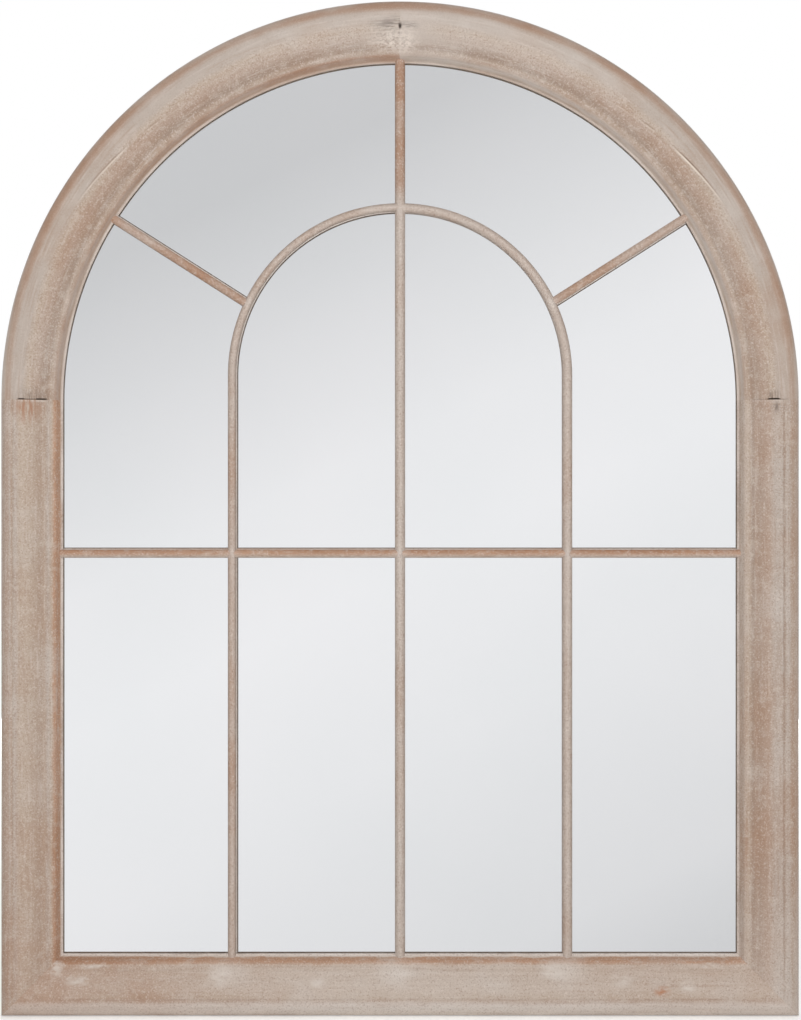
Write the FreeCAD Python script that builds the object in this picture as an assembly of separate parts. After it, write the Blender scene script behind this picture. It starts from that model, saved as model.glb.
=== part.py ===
"""Arched window mirror for a wall.

A moulded wooden frame in five lengths holds one silvered glass. Glazing bars lie on the glass and
divide it into panes: three uprights, a cross bar, an inner arch and two rays. A back panel is
screwed into the frame behind the glass, and two ring hangers carry the mirror on wall hooks.

Millimetres. The origin is on the wall, midway between the two hooks. X points right, Y points into
the wall and Z points up, so the mirror looks towards -Y.
"""

import FreeCAD, Part
import math
import os

from FreeCAD import Vector

# Outline of the frame
frame_width = 700.0
stile_height = 540.0        # bottom edge to the spring line, where the arch starts
hook_rise = 100.0           # spring line to the wall hooks

# Section of the moulding, inwards from its outer edge and forwards from its back
member_width = 54.0
crown_height = 26.0         # back to the highest line of the face
round_over = 14.0           # radius of the outer edge, which ends on the crown
valley_drop = 8.5           # crown to the valley beside the bead
bead_width = 12.0
bead_rise = 3.6             # height of the bead over the line between its two feet
lip_width = 3.5             # the two small steps between the bead and the sight edge
step_height = 1.3
sight_thickness = 3.6       # frame in front of the glass, at the sight edge
crease_setback = 3.0        # crown to the crease along the straight members
crease_width = 1.8
crease_depth = 1.0

# Rebates at the back of the moulding, and what lies in them
rebate_width = 10.0         # frame that covers the edge of the glass
panel_margin = 10.0         # frame that the edge of the back panel is screwed to
glass_thickness = 4.0
panel_thickness = 4.0
edge_clearance = 1.5        # glass and panel to the walls of their rebates

# Glazing bars
bar_width = 9.0
bar_depth = 6.5
bar_shoulder = 4.2          # upright side of the bar, below its rounded face
bar_spacing = 147.0         # centre bar to side bar, and radius of the inner arch
cross_bar_height = 406.0    # bottom edge of the frame to the middle of the cross bar
inner_arch_rise = 22.0      # spring line of the inner arch over that of the frame
ray_angle = 32.5            # rays over the horizontal, in degrees
lap_clearance = 0.1
coping_step = 0.4           # a bar that is coped to another lies this much lower

# Dowels at the butt joints and biscuits at the mitres
dowel_diameter = 8.0
dowel_length = 40.0
dowel_insets = (14.0, 29.0)
dowel_height = 11.0         # back of the frame to the middle of a dowel
biscuit_length = 56.0
biscuit_width = 23.0
biscuit_thickness = 4.0
biscuit_inset = 25.0        # outer corner to the middle of the biscuit, along each member
biscuit_height = 13.0
hole_clearance = 0.1        # round dowels, biscuits and screws
hole_end_gap = 1.0

# Screws of the back panel
panel_screw_diameter = 3.0
panel_screw_length = 12.0
panel_screw_head = 6.0
panel_screw_dome = 1.8
rail_screws = 2             # on each half of the bottom rail
stile_screws = 3
arch_screws = 3             # on each half of the arch

# Ring hangers
strap_width = 12.0
strap_length = 36.0         # axis of the ring to the lower end of the strap
strap_thickness = 1.0
strap_ramp = 4.5            # where the folded strap comes down on its lower layer
strap_corner = 4.0
hanger_inset = 20.0         # outer edge of the frame to the middle of the strap
ring_wire = 2.4
ring_bore_clearance = 0.05
ring_half_width = 9.2       # to the middle of the wire
ring_corner = 3.0
ring_leg = 5.5              # axis of the ring to the start of its bow
ring_split = 0.4
ring_lean = 3.0             # the ring leans on the frame by this angle
hanger_screw_diameter = 3.5
hanger_screw_length = 15.0
hanger_screw_head = 7.0
hanger_screw_dome = 2.0
hanger_screw_drops = (8.6, 27.0)    # axis of the ring to the screws

# Bumpers that hold the lower edge off the wall
bumper_height = 6.0
bumper_radius = 7.0
bumper_taper = 1.0
bumper_rounding = 1.4
bumper_inset = 40.0         # side of the frame to the middle of the bumper
bumper_rise = 17.0

overcut = 1.0               # cutting tools reach past the faces that they cut

# Places that follow from these sizes
arch_radius = frame_width / 2
spring_z = -hook_rise
bottom_z = spring_z - stile_height
crown_z = spring_z + arch_radius
inner_spring_z = spring_z + inner_arch_rise
cross_z = bottom_z + cross_bar_height
back_y = -bumper_height
rebate_depth = panel_thickness + glass_thickness
glass_y = back_y - rebate_depth
glass_edge = member_width - rebate_width
panel_edge = glass_edge - panel_margin
bead_foot = member_width - lip_width
bead_start = bead_foot - bead_width
screw_inset = glass_edge - panel_margin / 2
strap_loop = ring_wire / 2 + ring_bore_clearance + strap_thickness
ring_reach = ring_leg + ring_half_width - ring_wire / 2
ring_axis_z = -ring_reach
ring_axis_y = back_y + strap_loop
hanger_rise = hook_rise - ring_reach - strap_length / 2
hanger_x = math.sqrt((arch_radius - hanger_inset) ** 2 - hanger_rise ** 2)

SIDES = {"left": -1, "right": 1}


def face(place, start, *steps):
    """Face inside an outline. A step is an end point, after a point on the way where it is an arc."""
    edges = []
    here = start
    for *way, end in steps:
        if way:
            curve = Part.Arc(place(here), place(way[0]), place(end))
        else:
            curve = Part.LineSegment(place(here), place(end))
        edges.append(curve.toShape())
        here = end
    return Part.Face(Part.Wire(edges))


def arc_middle(start, end, rise):
    """Point that lies over the middle of a chord, on its left."""
    run, climb = end[0] - start[0], end[1] - start[1]
    scale = rise / math.hypot(run, climb)
    return ((start[0] + end[0]) / 2 - climb * scale, (start[1] + end[1]) / 2 + run * scale)


def crown_middle(run, drop):
    """Middle of an arc that leaves its crown level and comes down by drop over run."""
    radius = (run ** 2 + drop ** 2) / (2 * drop)
    half = math.asin(run / radius) / 2
    return radius * math.sin(half), radius * (1 - math.cos(half))


def on_round_over(inset):
    """Point of the moulding's rounded outer edge."""
    rise = math.sqrt(round_over ** 2 - (round_over - inset) ** 2)
    return inset, crown_height - round_over + rise


def outer_edge(creased):
    """Rounded outer edge, with a crease near the crown on the straight members."""
    crown = (round_over, crown_height)
    if not creased:
        return [(on_round_over(round_over * (1 - math.sqrt(0.5))), crown)]
    crease = round_over - crease_setback
    near, far = crease - crease_width / 2, crease + crease_width / 2
    return [
        (on_round_over(near / 3), on_round_over(near)),
        ((crease, on_round_over(crease)[1] - crease_depth),),
        (on_round_over(far),),
        (on_round_over((far + round_over) / 2), crown),
    ]


def moulding(place, creased=False):
    """Section of the frame: rounded outer edge, falling face, bead, stepped lip and two rebates."""
    start = on_round_over(0)
    valley = (bead_start, crown_height - valley_drop)
    run, drop = crown_middle(bead_start - round_over, valley_drop)
    sight_top = rebate_depth + sight_thickness
    ledge_top = sight_top + step_height
    foot = (bead_foot, ledge_top + step_height)
    ledge_end = bead_foot + lip_width / 2
    return face(
        place, start, *outer_edge(creased),
        ((round_over + run, crown_height - drop), valley),
        (arc_middle(valley, foot, bead_rise), foot),
        ((bead_foot, ledge_top),),
        ((ledge_end, ledge_top),),
        ((ledge_end, sight_top),),
        ((member_width, sight_top),),
        ((member_width, rebate_depth),),
        ((glass_edge, rebate_depth),),
        ((glass_edge, panel_thickness),),
        ((panel_edge, panel_thickness),),
        ((panel_edge, 0),),
        ((0, 0),),
        (start,),
    )


def mitre_waste(side, *corners):
    """Wedge on one side of a bottom mitre, between corners given inwards and upwards."""
    def place(point):
        return Vector(side * (arch_radius - point[0]), back_y + overcut, bottom_z + point[1])
    start, *others = corners
    wedge = face(place, start, *[(corner,) for corner in others], (start,))
    return wedge.extrude(Vector(0, -crown_height - 2 * overcut, 0))


def frame_stile(side):
    """Upright length of the frame, mitred at the foot and square at the spring line."""
    def place(point):
        return Vector(side * (arch_radius - point[0]), back_y - point[1], bottom_z)
    length = moulding(place, creased=True).extrude(Vector(0, 0, stile_height))
    return length.cut(mitre_waste(side, (0, 0), (member_width, 0), (member_width, member_width)))


def frame_bottom_rail():
    """Bottom length of the frame, mitred at both ends."""
    def place(point):
        return Vector(-arch_radius, back_y - point[1], bottom_z + point[0])
    length = moulding(place, creased=True).extrude(Vector(frame_width, 0, 0))
    corners = ((0, 0), (0, member_width), (member_width, member_width))
    return length.cut([mitre_waste(side, *corners) for side in SIDES.values()])


def frame_arch(side):
    """Quarter of a ring, from the spring line to the crown."""
    def place(point):
        return Vector(side * (arch_radius - point[0]), back_y - point[1], spring_z)
    return moulding(place).revolve(Vector(0, 0, spring_z), Vector(0, -side, 0), 90)


def bar_section(place, copes):
    """Section of a glazing bar: flat on the glass, with upright sides and a rounded face."""
    half = bar_width / 2
    crest = bar_depth - copes * coping_step
    return face(
        place, (-half, 0),
        ((-half, bar_shoulder),),
        ((0, crest), (half, bar_shoulder)),
        ((half, 0),),
        ((-half, 0),),
    )


def straight_bar(start, end, copes=0):
    """Glazing bar between two points, each given as x and z."""
    run, climb = end[0] - start[0], end[1] - start[1]
    length = math.hypot(run, climb)

    def place(point):
        across = point[0] / length
        return Vector(start[0] - climb * across, glass_y - point[1], start[1] + run * across)
    return bar_section(place, copes).extrude(Vector(run, 0, climb))


def upright_bar(x, top):
    """Upright bar with a half lap in its back for the cross bar."""
    bar = straight_bar((x, bottom_z + bead_foot), (x, top))
    lap_width = bar_width + 2 * lap_clearance
    corner = Vector(x - bar_width / 2, glass_y - bar_depth / 2, cross_z - lap_width / 2)
    return bar.cut(Part.makeBox(bar_width, bar_depth / 2, lap_width, corner))


def cross_bar(uprights):
    """Cross bar from stile to stile, lapped and coped to the uprights that it passes."""
    reach = arch_radius - bead_foot
    return straight_bar((-reach, cross_z), (reach, cross_z), copes=1).cut(uprights)


def inner_arch_bar(side, centre_bar):
    """Quarter of the inner arch, from the top of a side bar to the side of the centre bar."""
    def place(point):
        return Vector(side * (bar_spacing + point[0]), glass_y - point[1], inner_spring_z)
    section = bar_section(place, copes=1)
    quarter = section.revolve(Vector(0, 0, inner_spring_z), Vector(0, -side, 0), 90)
    return quarter.cut(centre_bar)


def ray_bar(side, inner_arch):
    """Bar on a radius of the frame's arch, coped to the inner arch."""
    slope = math.radians(ray_angle)
    level, upward = side * math.cos(slope), math.sin(slope)
    rise = inner_arch_rise * upward
    start = rise + math.sqrt(rise ** 2 + bar_spacing ** 2 - inner_arch_rise ** 2)
    end = arch_radius - bead_foot
    ends = [(level * reach, spring_z + upward * reach) for reach in (start, end)]
    return straight_bar(*ends, copes=2).cut(inner_arch)


def arched_plate(inset, y, thickness):
    """Flat plate with the frame's outline, set in from its outer edge."""
    def place(point):
        return Vector(point[0], y, point[1])
    half = arch_radius - inset
    foot = bottom_z + inset
    outline = face(
        place, (-half, foot),
        ((half, foot),),
        ((half, spring_z),),
        ((0, spring_z + half), (-half, spring_z)),
        ((-half, foot),),
    )
    return outline.extrude(Vector(0, -thickness, 0))


def rod(middle, direction, diameter, length):
    """Cylinder about its middle point."""
    return Part.makeCylinder(diameter / 2, length, middle - direction * (length / 2), direction)


def dowel_places():
    """Middle and direction of each dowel, by joint."""
    y = back_y - dowel_height
    places = {"crown": [(Vector(0, y, crown_z - inset), Vector(1, 0, 0)) for inset in dowel_insets]}
    for name, side in SIDES.items():
        xs = [side * (arch_radius - inset) for inset in dowel_insets]
        places[name + "_spring"] = [(Vector(x, y, spring_z), Vector(0, 0, 1)) for x in xs]
    return places


def biscuit(side, grow=0.0, end_gap=0.0):
    """Lens of pressed beech across a bottom mitre, or its slot when it is grown."""
    long, wide = biscuit_length / 2 + end_gap, biscuit_width / 2 + end_gap
    thick = biscuit_thickness + 2 * grow
    turn = math.sqrt(0.5)

    def place(point):
        along, across = point[0] * turn, point[1] * turn
        x = arch_radius - biscuit_inset - along + across
        y = back_y - biscuit_height + thick / 2
        return Vector(side * x, y, bottom_z + biscuit_inset + along + across)
    lens = face(place, (-long, 0), ((0, wide), (long, 0)), ((0, -wide), (-long, 0)))
    return lens.extrude(Vector(0, -thick, 0))


def screw(x, z, seat, diameter, length, head, dome):
    """Round headed wood screw. Its head sits at a height over the frame's back."""
    def place(point):
        return Vector(x + point[0], back_y + seat - point[1], z)
    run, drop = crown_middle(head / 2, dome)
    section = face(
        place, (0, -dome),
        ((run, drop - dome), (head / 2, 0)),
        ((diameter / 2, 0),),
        ((diameter / 2, length - diameter),),
        ((0, length),),
        ((0, -dome),),
    )
    return section.revolve(Vector(x, 0, z), Vector(0, 1, 0), 360)


def pilot_hole(x, z, seat, diameter, length):
    """Hole for the shank of a screw, from its seat into the frame."""
    depth = length + hole_end_gap
    top = Vector(x, back_y + seat, z)
    return Part.makeCylinder(diameter / 2 + hole_clearance, depth, top, Vector(0, -1, 0))


def panel_screw_places():
    """Points round the edge of the back panel, as x and z."""
    places = []
    straight = stile_height - member_width
    radius = arch_radius - screw_inset
    for side in SIDES.values():
        for step in range(rail_screws):
            x = (step + 0.5) / rail_screws * (arch_radius - member_width)
            places.append((side * x, bottom_z + screw_inset))
        for step in range(stile_screws):
            height = member_width + (step + 0.5) / stile_screws * straight
            places.append((side * radius, bottom_z + height))
        for step in range(arch_screws):
            turn = math.radians((step + 0.5) / arch_screws * 90)
            places.append((side * radius * math.cos(turn), spring_z + radius * math.sin(turn)))
    return places


def hanger_screw_places():
    """Points on both hanger straps, as x and z."""
    return [
        (side * hanger_x, ring_axis_z - drop)
        for side in SIDES.values()
        for drop in hanger_screw_drops
    ]


def hanger_strap(side, screw_holes):
    """Strip of steel folded round the ring and back on itself, with two screw holes."""
    def place(point):
        return Vector(side * hanger_x - strap_width / 2, back_y + point[1], ring_axis_z - point[0])
    doubled = 2 * strap_thickness
    strip = face(
        place, (strap_length, 0),
        ((0, 0),),
        ((-strap_loop, strap_loop), (0, 2 * strap_loop)),
        ((strap_ramp, doubled),),
        ((strap_length, doubled),),
        ((strap_length, 0),),
    ).extrude(Vector(strap_width, 0, 0))
    foot_z = ring_axis_z - strap_length
    corners = [
        edge for edge in strip.Edges
        if abs(edge.BoundBox.ZMax - foot_z) < overcut and edge.BoundBox.XLength < overcut
    ]
    strip = strip.makeFillet(strap_corner, corners)
    axis = Vector(side * hanger_x, ring_axis_y, ring_axis_z)
    bore = rod(axis, Vector(1, 0, 0), ring_wire + 2 * ring_bore_clearance, strap_width + overcut)
    return strip.cut([bore] + screw_holes)


def hanger_ring(side):
    """D shaped ring of bent wire. Its split lies inside the strap."""
    def place(point):
        return Vector(side * hanger_x + point[0], ring_axis_y, ring_axis_z + point[1])
    half, corner = ring_half_width, ring_corner
    inside = corner * (1 - math.sqrt(0.5))
    points = [
        ((ring_split / 2, 0), (half - corner, 0)),
        ((half - corner, 0), (half - inside, inside), (half, corner)),
        ((half, corner), (half, ring_leg)),
        ((half, ring_leg), (0, ring_leg + half), (-half, ring_leg)),
        ((-half, ring_leg), (-half, corner)),
        ((-half, corner), (inside - half, inside), (corner - half, 0)),
        ((corner - half, 0), (-ring_split / 2, 0)),
    ]
    edges = []
    for run in points:
        curve = Part.Arc if len(run) == 3 else Part.LineSegment
        edges.append(curve(*map(place, run)).toShape())
    section = Part.Wire(Part.makeCircle(ring_wire / 2, place(points[0][0]), Vector(1, 0, 0)))
    ring = Part.Wire(edges).makePipeShell([section], True, True)
    return ring.rotate(place((0, 0)), Vector(1, 0, 0), ring_lean)


def wall_bumper(side):
    """Soft round foot on the back of the bottom rail, flat where it meets the wall."""
    x = side * (arch_radius - bumper_inset)
    z = bottom_z + bumper_rise

    def place(point):
        return Vector(x + point[0], back_y + point[1], z)
    rim = bumper_radius - bumper_taper
    edge = bumper_rounding * (1 - math.sqrt(0.5))
    section = face(
        place, (0, 0),
        ((bumper_radius, 0),),
        ((rim, bumper_height - bumper_rounding),),
        ((rim - edge, bumper_height - edge), (rim - bumper_rounding, bumper_height)),
        ((0, bumper_height),),
        ((0, 0),),
    )
    return section.revolve(Vector(x, 0, z), Vector(0, 1, 0), 360)


def glazing_bars():
    """The grille on the glass, bar by bar."""
    bars = {"centre_bar": upright_bar(0, crown_z - bead_foot)}
    for name, side in SIDES.items():
        bars[name + "_side_bar"] = upright_bar(side * bar_spacing, inner_spring_z)
    bars["cross_bar"] = cross_bar(list(bars.values()))
    for name, side in SIDES.items():
        quarter = inner_arch_bar(side, bars["centre_bar"])
        bars[name + "_inner_arch_bar"] = quarter
        bars[name + "_ray_bar"] = ray_bar(side, quarter)
    return bars


def fixings():
    """Dowels, biscuits and screws by node, and the holes that they need."""
    nodes = {}
    holes = []
    for joint, places in dowel_places().items():
        rods = [rod(*place, dowel_diameter, dowel_length) for place in places]
        nodes[joint + "_dowels"] = Part.makeCompound(rods)
        bore, depth = dowel_diameter + 2 * hole_clearance, dowel_length + 2 * hole_end_gap
        holes += [rod(*place, bore, depth) for place in places]
    for name, side in SIDES.items():
        nodes[name + "_mitre_biscuit"] = biscuit(side)
        holes.append(biscuit(side, hole_clearance, hole_end_gap))
    return nodes, holes


def screw_set(places, seat, diameter, length, head, dome):
    """Screws at several places as one group, and their holes."""
    screws = [screw(*place, seat, diameter, length, head, dome) for place in places]
    holes = [pilot_hole(*place, seat, diameter, length) for place in places]
    return Part.makeCompound(screws), holes


def build():
    """All pieces of the mirror by node name."""
    bars = glazing_bars()
    nodes, joint_holes = fixings()
    nodes["panel_screws"], panel_holes = screw_set(
        panel_screw_places(), 0, panel_screw_diameter, panel_screw_length,
        panel_screw_head, panel_screw_dome,
    )
    nodes["hanger_screws"], hanger_holes = screw_set(
        hanger_screw_places(), 2 * strap_thickness, hanger_screw_diameter, hanger_screw_length,
        hanger_screw_head, hanger_screw_dome,
    )
    members = {"bottom_rail": frame_bottom_rail()}
    for name, side in SIDES.items():
        members[name + "_stile"] = frame_stile(side)
        members[name + "_arch"] = frame_arch(side)
    cutters = joint_holes + panel_holes + hanger_holes + list(bars.values())
    for name, member in members.items():
        nodes[name] = member.cut(cutters)
    nodes.update(bars)
    nodes["mirror_glass"] = arched_plate(
        glass_edge + edge_clearance, back_y - panel_thickness, glass_thickness)
    panel = arched_plate(panel_edge + edge_clearance, back_y, panel_thickness)
    nodes["back_panel"] = panel.cut(panel_holes)
    for name, side in SIDES.items():
        nodes[name + "_hanger_strap"] = hanger_strap(side, hanger_holes)
        nodes[name + "_hanger_ring"] = hanger_ring(side)
        nodes[name + "_wall_bumper"] = wall_bumper(side)
    return nodes


os.makedirs("parts", exist_ok=True)
for node, shape in build().items():
    shape.exportStep(f"parts/{node}.step")
    print(node, len(shape.Solids), round(shape.Volume))
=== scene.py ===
# %% [markdown]
# # An arched window mirror
# The mirror is a moulded wooden frame with a lime-washed face, a grille of thin glazing bars and one
# silvered glass behind them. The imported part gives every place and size. Here its frame and its bars
# are modelled again with the small unevenness of a hand-finished piece, and everything gets a finish.

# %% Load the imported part
import math

import bpy
import numpy as np
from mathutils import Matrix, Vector


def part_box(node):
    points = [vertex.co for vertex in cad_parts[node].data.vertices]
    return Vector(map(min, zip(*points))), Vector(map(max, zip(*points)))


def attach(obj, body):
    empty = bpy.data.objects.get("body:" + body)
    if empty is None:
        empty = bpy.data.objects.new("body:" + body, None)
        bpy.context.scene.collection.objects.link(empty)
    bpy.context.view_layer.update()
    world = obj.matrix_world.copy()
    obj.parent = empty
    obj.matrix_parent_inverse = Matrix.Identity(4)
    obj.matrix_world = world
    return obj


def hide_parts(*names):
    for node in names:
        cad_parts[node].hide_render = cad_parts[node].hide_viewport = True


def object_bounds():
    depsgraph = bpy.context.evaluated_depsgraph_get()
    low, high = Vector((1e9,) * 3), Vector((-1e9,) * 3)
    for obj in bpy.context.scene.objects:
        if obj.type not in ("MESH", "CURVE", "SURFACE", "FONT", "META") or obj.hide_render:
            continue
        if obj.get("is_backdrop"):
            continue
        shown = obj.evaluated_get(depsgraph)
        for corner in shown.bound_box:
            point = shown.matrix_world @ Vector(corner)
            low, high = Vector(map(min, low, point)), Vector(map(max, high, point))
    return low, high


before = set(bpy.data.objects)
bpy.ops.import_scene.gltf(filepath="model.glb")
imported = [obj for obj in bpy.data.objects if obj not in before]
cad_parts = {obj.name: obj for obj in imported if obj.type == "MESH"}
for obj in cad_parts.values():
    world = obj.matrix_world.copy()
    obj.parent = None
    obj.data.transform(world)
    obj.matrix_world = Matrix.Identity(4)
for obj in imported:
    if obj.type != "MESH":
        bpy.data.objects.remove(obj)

MM = 0.001
SIDES = {"left": -1, "right": 1}
cad_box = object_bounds()
stile_low, stile_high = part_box("left_stile")
half_width = -stile_low.x
bottom, spring = stile_low.z, stile_high.z
back, face_height = stile_high.y, stile_high.y - stile_low.y
member_width = stile_high.x - stile_low.x
glass_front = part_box("mirror_glass")[0].y
print("box", [[round(v / MM, 1) for v in corner] for corner in cad_box])
print("member", round(member_width / MM, 2), "by", round(face_height / MM, 2), "mm")

# %% [markdown]
# ## The section of the moulding
# A moulding is run on a spindle moulder with one cutter, so all five lengths share a section. From the
# outer edge it rises in a round-over to a crown, falls in a long slope to a valley, swells into a bead and
# ends in a lip over the glass. The wash has filled the small steps beside the lip, so here the bead slopes
# down to it. Two rebates at the back hold glass and panel. The section could be drawn by hand. Arcs worked
# out from a few sizes put the points as close together as the wear needs later.

# %% Section
round_over = 14 * MM
valley_inset, valley_drop = 38.5 * MM, 8.5 * MM
bead_foot, bead_rise = 50.5 * MM, 3.6 * MM
sight_top, step_height = 11.6 * MM, 1.3 * MM
lip, lip_corner = (member_width - bead_foot) / 2, 0.25 * MM
rebate, panel_step = back - glass_front, 4 * MM
glass_cover, panel_cover = 10 * MM, 20 * MM
valley_reach, valley_passes = 6 * MM, 8
foot_reach, foot_passes = 1.6 * MM, 6
edge_shares = (0, 0.4, 0.7, 1)
point_gap = 0.9 * MM


def bow(start, end, rise):
    """Points on an arc that stands over the chord from start to end, without its start."""
    run, climb = end[0] - start[0], end[1] - start[1]
    chord = math.hypot(run, climb)
    radius = (chord ** 2 / 4 + rise ** 2) / (2 * rise)
    half = math.asin(chord / 2 / radius)
    count = max(2, round(2 * half * radius / point_gap))
    points = []
    for step in range(1, count + 1):
        turn = half * (2 * step / count - 1)
        along = 0.5 + radius * math.sin(turn) / chord
        over = (radius * math.cos(turn) - radius + rise) / chord
        points.append((start[0] + run * along - climb * over, start[1] + climb * along + run * over))
    return points


def soften(points, place, reach, passes):
    """Rounds a crease: points near the place move towards the middle of their neighbours."""
    for _ in range(passes):
        moved = []
        for trio in zip(points, points[1:], points[2:]):
            middle = tuple((before + 2 * here + after) / 4 for before, here, after in zip(*trio))
            moved.append(middle if abs(trio[1][0] - place) < reach else trio[1])
        points = [points[0], *moved, points[-1]]
    return points


def section():
    """Inset and height of all points of the moulding, from the back edge round to the rebates."""
    edge_height = face_height - round_over
    points = [(0, edge_height * share) for share in edge_shares]
    points += bow(points[-1], (round_over, face_height), round_over * (1 - math.sqrt(0.5)))
    valley = (valley_inset, face_height - valley_drop)
    chord = math.dist(points[-1], valley)
    radius = ((valley_inset - round_over) ** 2 + valley_drop ** 2) / (2 * valley_drop)
    points += bow(points[-1], valley, radius - math.sqrt(radius ** 2 - chord ** 2 / 4))
    points += bow(valley, (bead_foot, sight_top + 2 * step_height), bead_rise)
    points = soften(points, valley_inset, valley_reach, valley_passes)
    points += [(bead_foot + lip, sight_top + lip_corner), (bead_foot + lip + lip_corner, sight_top)]
    points += [(member_width - lip_corner, sight_top), (member_width, sight_top - lip_corner)]
    points = soften(points, bead_foot, foot_reach, foot_passes)
    glass_edge, panel_edge = member_width - glass_cover, member_width - panel_cover
    points += [(member_width, rebate), (glass_edge, rebate), (glass_edge, panel_step)]
    points += [(panel_edge, panel_step), (panel_edge, 0)]
    return points


print("section points", len(section()))

# %% [markdown]
# ## Sweeping an outline
# Every length of the frame and every bar is one outline carried along a path. A curve with a bevel could
# do that, but its mitres and joints would be hard to cut. So the outline is swept as a mesh: a straight run
# is one short extrusion, repeated and merged, and a round one comes from a Screw modifier. As by hand,
# everything is deselected first, and then the part to shape is picked.


# %% Sweeps
def outline(name, points):
    """Closed loop of edges, in edit mode, ready to be swept."""
    count = len(points)
    mesh = bpy.data.meshes.new(name)
    mesh.from_pydata(points, [(i, (i + 1) % count) for i in range(count)], [])
    piece = bpy.data.objects.new(name, mesh)
    bpy.context.scene.collection.objects.link(piece)
    bpy.ops.object.select_all(action="DESELECT")
    bpy.context.view_layer.objects.active = piece
    piece.select_set(True)
    bpy.ops.object.mode_set(mode="EDIT")
    bpy.ops.mesh.select_all(action="SELECT")
    return piece


def extrude(piece, travel, count):
    """Sweeps the outline in a straight line: one short step, repeated and merged."""
    step = Vector(travel) / count
    bpy.ops.mesh.extrude_region_move(TRANSFORM_OT_translate={"value": step})
    bpy.ops.object.mode_set(mode="OBJECT")
    repeat = piece.modifiers.new("repeat", "ARRAY")
    repeat.count = count
    repeat.use_relative_offset = False
    repeat.use_constant_offset = True
    repeat.constant_offset_displace = step
    repeat.use_merge_vertices = True
    repeat.merge_threshold = 0.01 * MM
    bpy.ops.object.modifier_apply(modifier="repeat")
    bpy.ops.object.mode_set(mode="EDIT")


def spin(piece, middle, turn, count):
    """Sweeps the outline round an axis that points at the viewer, through a middle on that axis."""
    bpy.ops.transform.translate(value=-Vector(middle))
    bpy.ops.object.mode_set(mode="OBJECT")
    sweep = piece.modifiers.new("sweep", "SCREW")
    sweep.axis = "Y"
    sweep.angle = turn
    sweep.steps = sweep.render_steps = count
    bpy.ops.object.modifier_apply(modifier="sweep")
    bpy.ops.object.mode_set(mode="EDIT")
    bpy.ops.mesh.select_all(action="SELECT")
    bpy.ops.transform.translate(value=middle)


def slice_at(places, normal):
    """Adds a line of points across the piece at each place."""
    for place in places:
        bpy.ops.mesh.select_all(action="SELECT")
        bpy.ops.mesh.bisect(plane_co=place, plane_no=normal)


def close(piece):
    """Closes the open ends, turns all faces outwards and leaves edit mode."""
    bpy.ops.mesh.select_mode(type="VERT")
    bpy.ops.mesh.select_all(action="DESELECT")
    bpy.ops.mesh.select_non_manifold()
    bpy.ops.mesh.edge_face_add()
    bpy.ops.mesh.select_all(action="SELECT")
    bpy.ops.mesh.normals_make_consistent(inside=False)
    bpy.ops.object.mode_set(mode="OBJECT")


def vertices(piece):
    """Places of all vertices, one row each."""
    places = np.zeros(len(piece.data.vertices) * 3)
    piece.data.vertices.foreach_get("co", places)
    return places.reshape(-1, 3)


# %% [markdown]
# ## The five lengths of the frame
# A straight length is the section extruded and cut at 45 degrees where two lengths meet. A quarter of
# the arch is the same section spun round the middle of the spring line. Extra lines are added close to
# the joints, because the wood is a little open there and needs points to be shaped with.

# %% Frame lengths
corner_turn = math.sqrt(0.5)
seam_lines = [0.35 * MM, 0.8 * MM, 1.4 * MM]
stile_steps, rail_steps, arch_steps = 300, 360, 280
pieces = {}


def at_spring(side):
    """Points of the section, laid on the spring line."""
    return [(side * (half_width - inset), back - height, spring) for inset, height in section()]


def mitre(side, keep):
    """Cuts at 45 degrees through a lower corner, and keeps the part below (1) or above (-1)."""
    bpy.ops.mesh.select_all(action="SELECT")
    normal = (keep * side * corner_turn, 0, keep * corner_turn)
    bpy.ops.mesh.bisect(plane_co=(side * half_width, 0, bottom), plane_no=normal, clear_outer=True)


for name, side in SIDES.items():
    stile = outline(f"limed_{name}_stile", at_spring(side))
    extrude(stile, (0, 0, bottom - spring), stile_steps)
    slice_at([(0, 0, spring - gap) for gap in seam_lines], (0, 0, 1))
    mitre(side, -1)
    close(stile)
    pieces[f"{name}_stile"] = stile

points = [(-half_width, back - height, bottom + inset) for inset, height in section()]
rail = outline("limed_bottom_rail", points)
extrude(rail, (2 * half_width, 0, 0), rail_steps)
for side in SIDES.values():
    mitre(side, 1)
close(rail)
pieces["bottom_rail"] = rail

for name, side in SIDES.items():
    arch = outline(f"limed_{name}_arch", at_spring(side))
    spin(arch, (0, 0, spring), -side * math.pi / 2, arch_steps)
    slice_at([(0, 0, spring + gap) for gap in seam_lines], (0, 0, 1))
    slice_at([(side * gap, 0, 0) for gap in seam_lines], (1, 0, 0))
    close(arch)
    pieces[f"{name}_arch"] = arch

for name, piece in pieces.items():
    low, high = vertices(piece).min(0) / MM, vertices(piece).max(0) / MM
    print(name, len(piece.data.polygons), "faces", low.round(1), high.round(1))

# %% [markdown]
# ## Where a point lies on its length
# The wash is brushed along each length, so its streaks and bands follow the moulding. A UV map could say
# where that is, but an attribute keeps real sizes. Each point remembers how far along the length it lies,
# how far in from the outer edge and how high over the back. Along is measured from the spring line on
# stiles and arches, and from the middle on the rail.


# %% Run of each point
def keep_run(piece, along, inset, height):
    """Stores the run on the mesh, for the materials."""
    run = piece.data.attributes.new("run", "FLOAT_VECTOR", "POINT")
    run.data.foreach_set("vector", np.stack([along, inset, height], 1).astype(np.float32).ravel())


def run_of(piece):
    """Along, inset and height of each point, as three arrays."""
    run = np.zeros(len(piece.data.vertices) * 3, np.float32)
    piece.data.attributes["run"].data.foreach_get("vector", run)
    return run.reshape(-1, 3).T


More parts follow.
